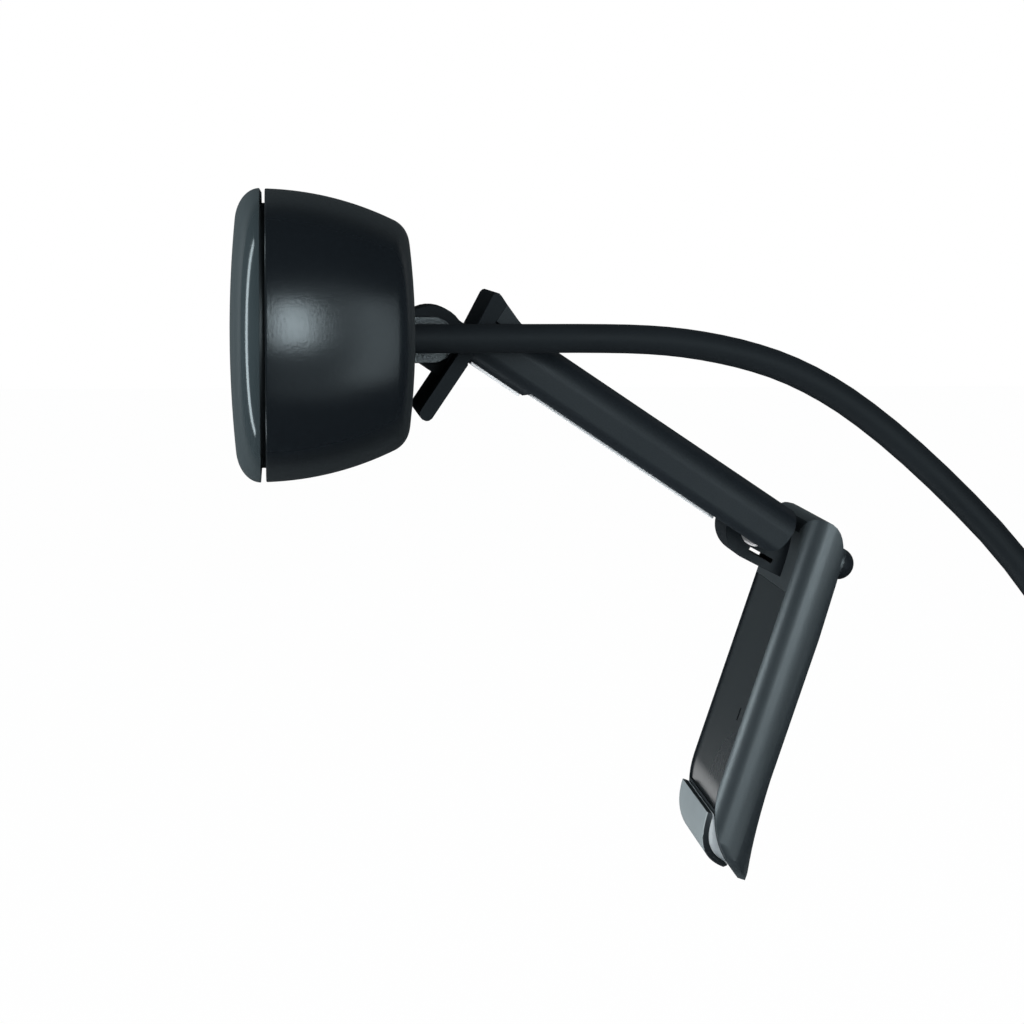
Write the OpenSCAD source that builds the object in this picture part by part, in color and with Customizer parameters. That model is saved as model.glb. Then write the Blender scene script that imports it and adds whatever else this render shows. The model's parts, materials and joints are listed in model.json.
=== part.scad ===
// Desk camera on a folding screen clip, with its USB lead. Millimetres.
// +Z is up and the camera faces -X. The origin is the middle of the face of the
// clip arm's rear pad, the face that rests on the top edge of a screen.

/* [Head] */
// Width of the head, side to side
head_w = 73; // [68:0.5:80]
// Height of the head at the seam
head_h = 31.6; // [30.5:0.1:34]
// Wall of the rear housing, which is also the depth of the seam groove
housing_wall = 1.4; // [1.2:0.1:1.6]
// Depth of the rear housing, seam to back
housing_d = 16.1; // [15.7:0.1:18]
// Thickness of the face plate at the middle of its crown
plate_t = 3.3; // [3:0.1:4]
// Width of the open groove between face plate and housing
seam_gap = 0.55; // [0.4:0.05:0.8]
// Depth of the rounded edge of the face plate
plate_edge_d = 2.7; // [2.2:0.1:2.8]

/* [Lens] */
// Radius of the trim ring round the lens
lens_ring_r = 8.4; // [7.5:0.1:10]
// Radius of the clear window over the lens
lens_window_r = 5.3; // [5:0.1:6]
// Outer radius of the lens barrel
barrel_r = 4; // [3.6:0.1:4.4]
// Side of the square lens holder
holder_w = 10.4; // [10:0.2:12]

/* [Board] */
// Length of the circuit board
board_w = 56; // [50:1:58]
// Height of the circuit board
board_h = 22; // [20:0.5:22]
// Thickness of the circuit board
board_t = 1; // [0.8:0.1:1.2]
// Distance of each board screw from the middle
board_screw_y = 24; // [22:0.5:24]
// Distance of the microphone and the status light from the middle
port_y = 16; // [14:0.5:18]

/* [Tilt hinge] */
// Radius of the clip's tilt knuckle
tilt_knuckle_r = 3.8; // [3.4:0.1:4]
// Width of the tilt knuckle
tilt_knuckle_w = 10; // [8:0.5:12]
// Radius of the tilt pin
tilt_pin_r = 1; // [0.8:0.1:1.2]
// Radius of the bracket's ears
ear_r = 2.6; // [2.3:0.1:2.8]
// Thickness of each ear
ear_t = 2.2; // [1.6:0.1:2.8]
// Thickness of the friction washers
washer_t = 0.35; // [0.3:0.05:0.5]

/* [Clip arm] */
// Slope of the arm below the level, front to back
arm_angle = 34; // [30:1:38]
// Width of the arm and of the lip in front
arm_w = 24; // [22:0.5:25]
// Thickness of the arm
arm_t = 5.5; // [5.2:0.1:6]
// Wall of the hollow arm
arm_wall = 1.4; // [1.2:0.1:1.6]
// Distance from the origin forward to the lip's inner face
lip_reach = 20.3; // [20.3:0.1:23]
// Thickness of the lip
lip_t = 1.5; // [1.4:0.1:2]
// How far the lip hangs below the rear pad
lip_drop = 8.8; // [7:0.2:9]
// How far the lip's wedge stands above the arm
wedge_h = 1.9; // [1.5:0.1:2.6]
// How far the front step lies below the rear of the arm
step_h = 0.75; // [0.5:0.05:0.9]
// Thickness of both rubber pads
pad_t = 0.35; // [0.25:0.05:0.5]
// Length of the rear pad
rear_pad_l = 25; // [20:0.5:25]

/* [Folding leg] */
// Lean of the open leg from the vertical
leg_lean = 18.7; // [14:0.1:22]
// Width of the leg
leg_w = 26; // [24:0.5:28]
// Length of the leg below the fold pin
leg_l = 37.9; // [33:0.1:37.9]
// Thickness of the leg
leg_t = 5.3; // [4.8:0.1:5.6]
// Distance from the fold pin back to the leg's inner face
leg_offset = 4.4; // [4.3:0.1:4.9]
// Radius of the leg's knuckle
fold_knuckle_r = 3.4; // [3.2:0.1:3.6]
// Width of the leg's knuckle
fold_knuckle_w = 10; // [8:0.5:11]
// Radius of the fold pin
fold_pin_r = 0.8; // [0.7:0.05:0.9]
// Distance from the origin back to the fold pin
fold_pin_u = 18.1; // [18:0.1:19]
// Height of the fold pin above the rear pad's face
fold_pin_w = 1.6; // [1.6:0.05:1.9]

/* [Lead] */
// Diameter of the lead
cord_d = 3.2; // [3:0.1:3.4]
// Distance of the lead from the middle of the head
cord_y = 15.5; // [15.2:0.1:16.5]
// Turns that lie beside each other across the coil
coil_layers = 4; // [2:2:6]
// Turns that lie on each other in each layer of the coil
coil_rows = 3; // [2:1:4]
// Radius at the middle of the coil's turns
coil_r = 18; // [16:0.5:20]

/* [Hidden] */

$fn = 48;

black = [0.09, 0.095, 0.10];
gloss_black = [0.13, 0.14, 0.15];
rubber_grey = [0.62, 0.64, 0.66];
steel = [0.62, 0.63, 0.65];
board_green = [0.05, 0.22, 0.12];
gold = [0.85, 0.66, 0.28];

// Clearances
fit_gap = 0.1;        // between parts that are fitted into each other and do not move
seat_gap = 0.05;      // between a pin and its hole
turn_gap = 0.3;       // between curved parts that move past each other
stop_gap = 0.15;      // between the open leg and the arm's end

// Points along a curve that starts at a, heads for b and ends at c
function bow(a, b, c, n = 8) =
  [for (i = [0:n]) let (t = i / n) (1 - t) * (1 - t) * a + 2 * t * (1 - t) * b + t * t * c];

// Points along an arc round p, from angle a0 to a1
function arc(p, r, a0, a1, n = 8) =
  [for (i = [0:n]) let (a = a0 + (a1 - a0) * i / n) p + r * [cos(a), sin(a)]];

// A profile in X and Z, drawn out along Y and centred on it
module across(w) {
  rotate([90, 0, 0]) linear_extrude(height = w, center = true) children();
}

// A cylinder along Y, centred on it
module cross_rod(r, w) {
  rotate([90, 0, 0]) cylinder(r = r, h = w, center = true);
}

// A cylinder along X, from x0 to x1
module fore_rod(r, x0, x1) {
  translate([x0, 0, 0]) rotate([0, 90, 0]) cylinder(r = r, h = x1 - x0);
}

// A box from corner lo to corner hi
module block(lo, hi) {
  translate(lo) cube(hi - lo);
}

// A rectangle with true round corners, in the plane
module round_rect(w, h, r) {
  square([w - 2 * r, h], center = true);
  square([w, h - 2 * r], center = true);
  for (x = [-1, 1], y = [-1, 1]) translate([x * (w / 2 - r), y * (h / 2 - r)]) circle(r);
}

// A plate across X with round corners, from x0 to x1
module fore_plate(w, h, r, x0, x1) {
  translate([x0, 0, 0]) rotate([90, 0, 90]) linear_extrude(height = x1 - x0) round_rect(w, h, r);
}

// ---------------------------------------------------------------- head

// Straight part of the head's outline; the ends are half round
head_flat = head_w - head_h;

// A solid with the head's round-ended outline. The profile lists [x, half height]
// from front to back, both ends on the head's axis.
module head_solid(profile) {
  below = [for (i = [len(profile) - 1:-1:0]) [profile[i][0], -profile[i][1]]];
  across(head_flat) polygon(concat(profile, below));
  for (side = [-1, 1])
    translate([0, side * head_flat / 2, 0])
      rotate([0, 90, 0])
        rotate([0, 0, side > 0 ? 0 : 180])
          rotate_extrude(angle = 180, $fn = 96)
            polygon([for (p = profile) [p[1], p[0]]]);
}

// Outline of the rear housing: a long side arc, a rounded back edge and a crowned back
side_arc_r = 33.5;     // radius of the side arc
side_start = 1.8;      // angle at which it leaves the seam
side_turn = 26;        // angle at which it meets the back edge
back_edge_r = 2.9;     // radius of the back edge
back_turn = 83;        // angle at which the back edge meets the crowned back
side_mid = [-side_arc_r * sin(side_start), head_h / 2 - side_arc_r * cos(side_start)];
side_end = side_mid + side_arc_r * [sin(side_turn), cos(side_turn)];
edge_mid = side_end - back_edge_r * [sin(side_turn), cos(side_turn)];
edge_end = edge_mid + back_edge_r * [sin(back_turn), cos(back_turn)];
crown_r = edge_end[1] / cos(back_turn);
back_x = edge_end[0] + crown_r * (1 - sin(back_turn));
// What a deeper housing adds along its front
housing_more = housing_d - back_x;

function housing_side(x0) = concat(
  [[x0, 0], [x0, head_h / 2]],
  [for (i = [housing_more > 0 ? 0 : 1:9]) let (a = side_start + (side_turn - side_start) * i / 9)
    side_mid + [housing_more + side_arc_r * sin(a), side_arc_r * cos(a)]]
);
housing_profile = concat(
  housing_side(0),
  [for (i = [1:7]) let (a = side_turn + (back_turn - side_turn) * i / 7)
    [housing_more + edge_mid[0] + back_edge_r * sin(a), edge_mid[1] + back_edge_r * cos(a)]],
  [for (i = [1:4]) let (a = back_turn + (90 - back_turn) * i / 4)
    [housing_more + edge_end[0] - crown_r * sin(back_turn) + crown_r * sin(a), crown_r * cos(a)]]
);

// Inside of the housing: the same side arc one wall in, and a flat floor
cavity_r = side_arc_r - housing_wall;
cavity_turn = 23;
floor_x = housing_d - housing_wall - 0.2;
cavity_side = [for (i = [0:8]) let (a = side_start + (cavity_turn - side_start) * i / 8)
  side_mid + [housing_more + cavity_r * sin(a), cavity_r * cos(a)]];
cavity_profile = concat(
  [[-1, 0], [-1, head_h / 2 - housing_wall]],
  cavity_side,
  [[floor_x, cavity_side[8][1] - 3.4], [floor_x, 0]]
);

// Front plane and outline of the face plate
plate_front = -seam_gap - plate_t;
plate_back = -seam_gap;
plate_half = head_h / 2 + 0.05;
edge_height = 3.8;     // the rounded edge is an ellipse's quarter of this height
edge_start = 8;        // where on it the crowned front ends
crown_end_z = plate_half - edge_height * (1 - sin(edge_start));
crown_drop = plate_t - plate_edge_d * cos(edge_start);
plate_crown_r = (pow(crown_end_z, 2) + pow(crown_drop, 2)) / (2 * crown_drop);
crown_turn = asin(crown_end_z / plate_crown_r);
plate_profile = concat(
  [for (i = [0:5]) let (a = crown_turn * i / 5)
    [plate_front + plate_crown_r * (1 - cos(a)), plate_crown_r * sin(a)]],
  [for (i = [1:8]) let (a = edge_start + (90 - edge_start) * i / 8)
    [plate_back - plate_edge_d * cos(a), plate_half - edge_height * (1 - sin(a))]],
  [[plate_back, 0]]
);

plate_floor = -seam_gap - 1.4;      // floor of the pocket in the back of the plate
spigot_end = 1.6;                   // how far the plate's rim reaches into the housing
spigot_half = head_h / 2 - housing_wall - fit_gap - 0.03;
spigot_wall = 1.1;
ring_seat = plate_front + 1.2;      // floor of the trim ring's seat
window_seat = plate_front + 1.7;    // floor of the window's seat
window_t = 1;

board_x = 8.4;                      // front of the board
board_back = board_x + board_t;
holder_front = 2.6;
barrel_front = plate_floor + 0.3;
barrel_back = 5;
lens_r = barrel_r - 1;
pipe_r = 0.9;
led_h = 1.2;
mic_r = 2.2;
boot_r = 3.2;
post_r = 2.4;
post_pilot_r = 0.7;
screw_r = 0.75;
screw_head_r = 1.5;
screw_head_t = 0.9;

// The tilt axis, in the arm's own lengthwise and upright directions
tilt_reach = 3;                     // in front of the lip
tilt_drop = 0.85;                   // below the rear pad's face
tilt_u = -lip_reach - lip_t - tilt_reach;
function arm_point(u, w) =
  [u * cos(arm_angle) + w * sin(arm_angle), -u * sin(arm_angle) + w * cos(arm_angle)];
tilt_axis = arm_point(tilt_u, -tilt_drop);

// The head's place: its back stands in front of the tilt axis, its middle above it
back_to_tilt = 2.5;
tilt_below_middle = 0.95;
seam_x = tilt_axis[0] - back_to_tilt - housing_d;
head_z = tilt_axis[1] + tilt_below_middle;
// The tilt axis in the head's own frame
tilt_x = housing_d + back_to_tilt;
ear_y = tilt_knuckle_w / 2 + washer_t + 0.1;

// The lead leaves the back of the head at this height from its middle
cord_drop = 0.55;
grommet_r = 2.3;
flange_r = 3.2;
flange_t = 1.2;
anchor_r = 2.2;
anchor_front = 10.9;

// The head's frame: X back from the seam, Z from the head's middle
module in_head() {
  translate([seam_x, 0, head_z]) children();
}

module at_lead() {
  translate([0, -cord_y, -cord_drop]) children();
}

module face_plate() {
  color(gloss_black) in_head() difference() {
    union() {
      head_solid(plate_profile);
      difference() {
        head_solid([[plate_back - 0.2, 0], [plate_back - 0.2, spigot_half],
                    [spigot_end, spigot_half], [spigot_end, 0]]);
        head_solid([[plate_back - 1, 0], [plate_back - 1, spigot_half - spigot_wall],
                    [spigot_end + 1, spigot_half - spigot_wall], [spigot_end + 1, 0]]);
      }
    }
    head_solid([[plate_floor, 0], [plate_floor, spigot_half - spigot_wall],
                [0, spigot_half - spigot_wall], [0, 0]]);
    fore_rod(lens_ring_r, plate_front - 1, ring_seat);
    fore_rod(lens_window_r + fit_gap, plate_front - 1, window_seat);
    fore_rod(lens_window_r - 0.8, plate_front - 1, 0);
    translate([0, -port_y, 0]) fore_rod(pipe_r + seat_gap, plate_front - 1, 0);
    translate([0, port_y, 0]) fore_plate(3.2, 0.8, 0.35, plate_front - 1, 0);
  }
}

module lens_ring() {
  color(steel) in_head() difference() {
    fore_rod(lens_ring_r - fit_gap, plate_front + 0.03, ring_seat);
    fore_rod(lens_window_r + fit_gap, plate_front - 1, ring_seat + 1);
    // dished towards the window
    translate([plate_front - 1, 0, 0]) rotate([0, 90, 0])
      cylinder(r1 = lens_ring_r + 0.4, r2 = lens_window_r - 0.2, h = 2);
  }
}

module lens_window() {
  color([0.16, 0.17, 0.2, 0.5]) in_head() fore_rod(lens_window_r, window_seat - window_t, window_seat);
}

module lens_barrel() {
  color(black) in_head() difference() {
    fore_rod(barrel_r, barrel_front, barrel_back);
    fore_rod(lens_r - 0.5, barrel_front - 1, barrel_back + 1);
    fore_rod(lens_r, barrel_front + 0.5, barrel_front + 2.2);
    fore_rod(lens_r, barrel_back - 1.8, barrel_back + 1);
  }
}

// A lens of radius r and edge thickness t, its edge starting at x, with a bulged front
module lens(r, t, x, bulge_r) {
  turn = asin(r / bulge_r);
  mid = bulge_r * cos(turn);
  translate([x, 0, 0]) rotate([0, 90, 0]) rotate_extrude() polygon(concat(
    [for (i = [0:6]) [bulge_r * sin(turn * i / 6), mid - bulge_r * cos(turn * i / 6)]],
    [[r, t], [0, t]]
  ));
}

module lens_front() {
  color([0.3, 0.32, 0.42, 0.6]) in_head() lens(lens_r - seat_gap, 1.4, barrel_front + 0.8, 8);
}

module lens_rear() {
  color([0.3, 0.32, 0.42, 0.6]) in_head() lens(lens_r - seat_gap, 1.2, barrel_back - 1.2, 12);
}

module lens_holder() {
  color(black) in_head() difference() {
    fore_plate(holder_w, holder_w, 1, holder_front, board_x);
    fore_rod(barrel_r + seat_gap, holder_front - 1, barrel_back + 0.2);
    block([barrel_back, -3.6, -3.4], [board_x + 1, 3.6, 3.4]);
  }
}

module ir_filter() {
  color([0.3, 0.75, 0.8, 0.5]) in_head() block([barrel_back + 1, -3.5, -3.3], [barrel_back + 1.4, 3.5, 3.3]);
}

module image_sensor() {
  color([0.2, 0.2, 0.24]) in_head() block([board_x - 0.9, -3.2, -2.8], [board_x, 3.2, 2.8]);
}

module main_board() {
  color(board_green) in_head() difference() {
    fore_plate(board_w, board_h, 5, board_x, board_back);
    for (side = [-1, 1])
      translate([0, side * board_screw_y, 0]) fore_rod(screw_r + fit_gap, board_x - 1, board_back + 1);
  }
}

module bridge_chip() {
  color([0.1, 0.1, 0.11]) in_head() translate([0, 12, 4]) fore_plate(8, 8, 0.2, board_back, board_back + 1);
}

cap_pitch = 2.6;
resistor_pitch = 2;

// Capacitors, a crystal and a regulator on the back of the board
module board_parts() {
  color([0.7, 0.6, 0.45]) in_head() {
    for (i = [0:5]) translate([0, 4 + cap_pitch * i, -5]) fore_plate(1.4, 0.8, 0.1, board_back, board_back + 0.7);
    for (i = [0:3]) translate([0, 19.5, 0.5 + resistor_pitch * i]) fore_plate(0.8, 1.4, 0.1, board_back, board_back + 0.7);
    translate([0, 5, 4.5]) fore_plate(3.2, 2.5, 0.2, board_back, board_back + 0.8);
    translate([0, -6, 5]) fore_plate(3, 3, 0.2, board_back, board_back + 1.1);
  }
}

module board_screws() {
  color(steel) in_head() for (side = [-1, 1]) translate([0, side * board_screw_y, 0]) difference() {
    union() {
      fore_rod(screw_head_r, board_x - screw_head_t, board_x);
      fore_rod(post_pilot_r - 0.02, board_x - 0.2, board_back + 3);
    }
    block([board_x - screw_head_t - 1, -1, -0.2], [board_x - screw_head_t + 0.4, 1, 0.2]);
    block([board_x - screw_head_t - 1, -0.2, -1], [board_x - screw_head_t + 0.4, 0.2, 1]);
  }
}

module lead_socket() {
  color([0.85, 0.83, 0.75]) in_head() at_lead() difference() {
    block([board_back, -4, -8.2], [board_back + 3, 4, -4.6]);
    block([board_back + 0.6, -3.4, -7.6], [board_back + 4, 3.4, -3]);
  }
}

module lead_plug() {
  color([0.9, 0.9, 0.88]) in_head() at_lead()
    block([board_back + 0.7, -3.3, -7.5], [board_back + 2.8, 3.3, -3.9]);
}

module signal_wires() {
  color([0.7, 0.2, 0.15]) in_head() at_lead()
    for (i = [0:3]) translate([board_back + 1.9, -0.96 + 0.64 * i, -3.9])
      cylinder(r = 0.28, h = 3.85 - anchor_r, $fn = 24);
}

module cord_anchor() {
  color(steel) in_head() at_lead() difference() {
    fore_rod(anchor_r, anchor_front, floor_x - flange_t);
    fore_rod(cord_d / 2, anchor_front + 0.5, floor_x);
  }
}

module cord_grommet() {
  color(black) in_head() at_lead() difference() {
    union() {
      fore_rod(flange_r, floor_x - flange_t, floor_x);
      fore_rod(grommet_r, floor_x - 0.2, housing_d - 0.05);
    }
    fore_rod(cord_d / 2 + seat_gap, floor_x - flange_t - 1, housing_d + 1);
  }
}

module mic_boot() {
  color(black) in_head() translate([0, port_y, 0]) difference() {
    fore_rod(boot_r, plate_floor, 1.2);
    fore_rod(mic_r + seat_gap, plate_floor + 0.6, 2);
    fore_rod(0.7, plate_floor - 1, 2);
  }
}

module mic_capsule() {
  color(steel) in_head() translate([0, port_y, 0]) fore_rod(mic_r, plate_floor + 0.6, 1);
}

module status_led() {
  color([0.9, 0.9, 0.8]) in_head() translate([0, -port_y, 0])
    fore_plate(2, 1.4, 0.2, board_x - led_h, board_x);
}

module light_pipe() {
  color([0.8, 0.9, 0.85, 0.6]) in_head() translate([0, -port_y, 0]) {
    fore_rod(pipe_r, plate_front + 0.1, board_x - led_h - fit_gap);
    fore_rod(pipe_r + 0.6, plate_floor, plate_floor + 0.8);
  }
}

// The window in the back of the housing that the tilt bracket fills
bracket_w = 2 * (ear_y + ear_t) + 1;
bracket_h = 10;
foot_w = 23;
foot_h = 13;
foot_t = 1.6;
bracket_screw_y = foot_w / 2 - 2.2;

module rear_housing() {
  color(black) in_head() difference() {
    union() {
      difference() {
        head_solid(housing_profile);
        head_solid(cavity_profile);
      }
      for (side = [-1, 1])
        translate([0, side * board_screw_y, 0]) fore_rod(post_r, board_back, floor_x + 0.2);
    }
    for (side = [-1, 1])
      translate([0, side * board_screw_y, 0]) fore_rod(post_pilot_r, board_back - 1, floor_x - 0.4);
    translate([0, 0, -tilt_below_middle]) fore_plate(bracket_w, bracket_h, 1, floor_x - 1, housing_d + 1);
    at_lead() fore_rod(grommet_r, floor_x - 1, housing_d + 1);
  }
}

module tilt_bracket() {
  color(black) in_head() translate([0, 0, -tilt_below_middle]) difference() {
    union() {
      fore_plate(bracket_w - 2 * fit_gap, bracket_h - 2 * fit_gap, 0.9, floor_x - foot_t, housing_d - 0.25);
      fore_plate(foot_w, foot_h, 2, floor_x - foot_t, floor_x);
      for (side = [-1, 1]) translate([tilt_x, side * (ear_y + ear_t / 2), 0]) {
        cross_rod(ear_r, ear_t);
        block([floor_x - foot_t - tilt_x, -ear_t / 2, -ear_r], [0, ear_t / 2, ear_r]);
      }
    }
    translate([tilt_x, 0, 0]) cross_rod(tilt_knuckle_r + turn_gap, tilt_knuckle_w + 2 * washer_t + 0.2);
    translate([tilt_x, 0, 0]) cross_rod(tilt_pin_r + seat_gap, 40);
    for (side = [-1, 1])
      translate([0, side * bracket_screw_y, 0]) fore_rod(screw_r + fit_gap, floor_x - 3, floor_x + 1);
  }
}

module bracket_screws() {
  color(steel) in_head() for (side = [-1, 1]) translate([0, side * bracket_screw_y, -tilt_below_middle]) {
    fore_rod(screw_head_r, floor_x - foot_t - screw_head_t, floor_x - foot_t);
    fore_rod(screw_r, floor_x - foot_t - 0.2, floor_x);
  }
}

// ---------------------------------------------------------------- clip

// The arm's frame: X back along the arm, Z away from the pad's face
module in_arm() {
  rotate([0, arm_angle, 0]) children();
}

arm_under = pad_t;
arm_top = arm_under + arm_t;
lip_in = -lip_reach;
lip_out = lip_in - lip_t;
step_under = arm_under - step_h;
step_end = -13.2;
slot_w = fold_knuckle_w + 1;
cheek_end = fold_pin_u + leg_offset - 1.85;  // end of the fork, inside the leg's swing
cavity_end = fold_pin_u - fold_knuckle_r - turn_gap - arm_wall - 0.6;
base_t = 1.3;
boss_r = 2;
arm_screw_u = [-8, 8];

// The wedge on top of the lip: a peak in front and a slope back to the arm
peak_u = lip_out - 0.4;
wedge_end = -18.3;
wedge_low = 0.44;
wedge_top = arm_top + wedge_low
  + (wedge_h - wedge_low) * (wedge_end - lip_in) / (wedge_end - peak_u);

// Side view of the arm, from the lip to the fork's round end
arm_profile = concat(
  [[lip_in, step_under], [step_end, step_under], [step_end + step_h, arm_under]],
  bow([cheek_end - 2.2, arm_under], [cheek_end - 0.2, arm_under], [cheek_end, arm_under + 2.3], 5),
  bow([cheek_end, arm_under + 3.2], [cheek_end, arm_top - 0.7], [cheek_end - 1.35, arm_top + 0.4], 5),
  [[cheek_end - 4, arm_top]],
  bow([wedge_end + 2.5, arm_top], [wedge_end + 1.3, arm_top], [wedge_end, arm_top + wedge_low], 3),
  [[lip_in, wedge_top]]
);

// Cross section of the arm: well rounded above, less below
edge_r = 2.7;
under_r = 2.1;
module arm_section() {
  translate([-30, 0, 0]) rotate([90, 0, 90]) linear_extrude(height = 60) intersection() {
    translate([0, arm_top - 10]) round_rect(arm_w, 20, edge_r);
    translate([0, step_under - 0.15 + 10]) round_rect(arm_w, 20, under_r);
  }
}

peg_r = 1.2;
peg_y = 7;
peg_w = 3.2;

module arm_shell() {
  color(black) in_arm() difference() {
    intersection() {
      across(arm_w) polygon(arm_profile);
      union() {
        arm_section();
        block([-30, -arm_w / 2, arm_top - 1], [-17, arm_w / 2, arm_top + 5]);
      }
    }
    // hollow inside, open below
    difference() {
      union() {
        block([lip_in + arm_wall + 0.4, -arm_w / 2 + arm_wall, arm_under + base_t],
              [cavity_end, arm_w / 2 - arm_wall, arm_top - arm_wall]);
        block([step_end + step_h, -arm_w / 2 + arm_wall, arm_under - 1],
              [cavity_end, arm_w / 2 - arm_wall, arm_top - arm_wall]);
      }
      for (u = arm_screw_u) translate([u, 0, arm_under + base_t]) cylinder(r = boss_r, h = arm_t);
    }
    for (u = arm_screw_u) translate([u, 0, arm_under]) cylinder(r = post_pilot_r, h = arm_t - arm_wall);
    // fork slot for the leg's knuckle
    block([fold_pin_u - fold_knuckle_r - turn_gap, -slot_w / 2, -5], [fold_pin_u + 10, slot_w / 2, 15]);
    // hole for the fold pin, open on one side
    translate([fold_pin_u, 0, fold_pin_w]) rotate([-90, 0, 0]) translate([0, 0, -arm_w / 2 + 2])
      cylinder(r = fold_pin_r + seat_gap, h = arm_w);
    for (side = [-1, 1]) translate([0, side * peg_y, peg_w]) fore_rod(peg_r + seat_gap, lip_in - 1, lip_in + 3);
  }
}

module arm_base() {
  color(black) in_arm() difference() {
    block([step_end + step_h + fit_gap, -arm_w / 2 + arm_wall + fit_gap, arm_under],
          [cavity_end - fit_gap, arm_w / 2 - arm_wall - fit_gap, arm_under + base_t]);
    for (u = arm_screw_u) translate([u, 0, arm_under - 1]) {
      cylinder(r = screw_r + fit_gap, h = 5);
      cylinder(r = screw_head_r + fit_gap, h = 1 + screw_head_t);
    }
  }
}

module arm_screws() {
  color(steel) in_arm() for (u = arm_screw_u) translate([u, 0, arm_under]) {
    cylinder(r = screw_head_r, h = screw_head_t - 0.05);
    cylinder(r = post_pilot_r - 0.02, h = 3.4);
  }
}

module front_pad() {
  color(rubber_grey) in_arm()
    block([lip_in + 0.3, -arm_w / 2 + 1.5, step_under - pad_t], [step_end - 0.3, arm_w / 2 - 1.5, step_under]);
}

module rear_pad() {
  color(rubber_grey) in_arm() linear_extrude(height = pad_t)
    round_rect(rear_pad_l, arm_w - 3, 1);
}

// Side view of the tilt knuckle, its foot against the lip
foot_depth = 3.05;                  // tilt axis down to the flat under the knuckle
knuckle_from = 230;                 // the knuckle's round part, as directions from its axis
knuckle_to = 68;
knuckle_profile = concat(
  [[lip_out + 0.4, -tilt_drop - foot_depth], [tilt_u - 2.55, -tilt_drop - foot_depth]],
  arc([tilt_u, -tilt_drop], tilt_knuckle_r, knuckle_from, knuckle_to, 16),
  [[lip_out + 0.4, -tilt_drop + 3.5]]
);

lip_face = lip_in + 0.1;                    // the face that a screen's front meets
lip_face_top = step_under - pad_t - 0.15;

module front_lip() {
  color(black) in_arm() difference() {
    union() {
      across(arm_w) polygon(concat(
        [[lip_in, lip_face_top], [lip_face, lip_face_top], [lip_face, -lip_drop + 0.9]],
        bow([lip_face, -lip_drop + 0.7], [lip_in, -lip_drop], [lip_in - lip_t / 2, -lip_drop], 3),
        bow([lip_in - lip_t / 2, -lip_drop], [lip_out, -lip_drop], [lip_out, -lip_drop + 0.9], 3),
        [[lip_out, arm_top - 3]],
        bow([peak_u - 0.05, arm_top + wedge_h - 0.8], [peak_u, arm_top + wedge_h + 0.05],
            [peak_u + 0.8, arm_top + wedge_h - 0.25], 4),
        [[lip_in, wedge_top]]
      ));
      across(tilt_knuckle_w) polygon(knuckle_profile);
      for (side = [-1, 1]) translate([0, side * peg_y, peg_w]) fore_rod(peg_r, lip_in - 0.2, lip_in + arm_wall);
    }
    translate([tilt_u, 0, -tilt_drop]) cross_rod(tilt_pin_r + seat_gap, 40);
  }
}

module at_tilt() {
  translate([tilt_axis[0], 0, tilt_axis[1]]) children();
}

module tilt_pin() {
  color(steel) at_tilt() cross_rod(tilt_pin_r, 2 * (ear_y + ear_t));
}

module tilt_washers() {
  color(steel) at_tilt() for (side = [-1, 1])
    translate([0, side * (tilt_knuckle_w / 2 + washer_t / 2 + 0.05), 0]) difference() {
      cross_rod(ear_r - 0.2, washer_t);
      cross_rod(tilt_pin_r + seat_gap, 2);
    }
}

fold_axis = arm_point(fold_pin_u, fold_pin_w);

module fold_pin() {
  color(steel) translate([fold_axis[0], 0.9, fold_axis[1]]) cross_rod(fold_pin_r, arm_w - 2.2);
}

module fold_washers() {
  color(steel) translate([fold_axis[0], 0, fold_axis[1]]) for (side = [-1, 1])
    translate([0, side * (fold_knuckle_w / 2 + 0.25), 0]) difference() {
      cross_rod(1.7, 0.4);
      cross_rod(fold_pin_r + seat_gap, 2);
    }
}

// ---------------------------------------------------------------- leg

// The leg's frame: the fold pin on the origin, X back through the leg, Z up along it
module in_leg() {
  translate([fold_axis[0], 0, fold_axis[1]]) rotate([0, leg_lean, 0]) children();
}

leg_in = leg_offset;
leg_out = leg_offset + leg_t;
leg_top = 3.8;
tip_out = leg_out + 1.5;            // the leg's end flares out behind
sweep_start = -leg_l + 9.8;         // where the inner face starts to sweep back to the end
bead_r = 1.8;
bead_z = -0.35;
leg_wall = 1.25;
panel_t = 1.2;
panel_in = leg_in + 0.2;
panel_top = -5.2;
foot_top = -leg_l + 6.4;

inner_sweep = bow([leg_in, sweep_start], [leg_in + 0.1, -leg_l + 3.8], [tip_out - 0.9, -leg_l], 12);
leg_profile = concat(
  inner_sweep,
  bow([tip_out - 0.4, -leg_l - 0.05], [tip_out + 0.05, -leg_l], [tip_out, -leg_l + 0.5], 3),
  bow([tip_out - 0.3, -leg_l + 1.5], [leg_out + 0.25, -leg_l + 5], [leg_out, -leg_l + 12], 7),
  [[leg_out, -9], [leg_out - 0.25, -2.2]],
  bow([leg_out - 0.6, 0.9], [leg_out - 1.6, leg_top + 0.5], [leg_in + 1, leg_top], 7),
  bow([leg_in + 0.6, leg_top - 0.1], [leg_in - 0.4, leg_top - 0.5], [leg_in - 0.5, leg_top - 1.7], 4),
  bow([leg_in - 0.5, leg_top - 2.2], [leg_in - 0.1, leg_top - 3.2], [leg_in, leg_top - 6], 4)
);

// Web that joins the leg's knuckle to the leg
web_profile = [[-0.6, -fold_knuckle_r + 0.06], [2.1, -fold_knuckle_r - 0.35], [leg_in + 0.3, -fold_knuckle_r - 0.7],
               [leg_in + 0.3, 0.6], [leg_in - 0.6, 1.8], [1.4, fold_knuckle_r - 0.3]];

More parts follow.
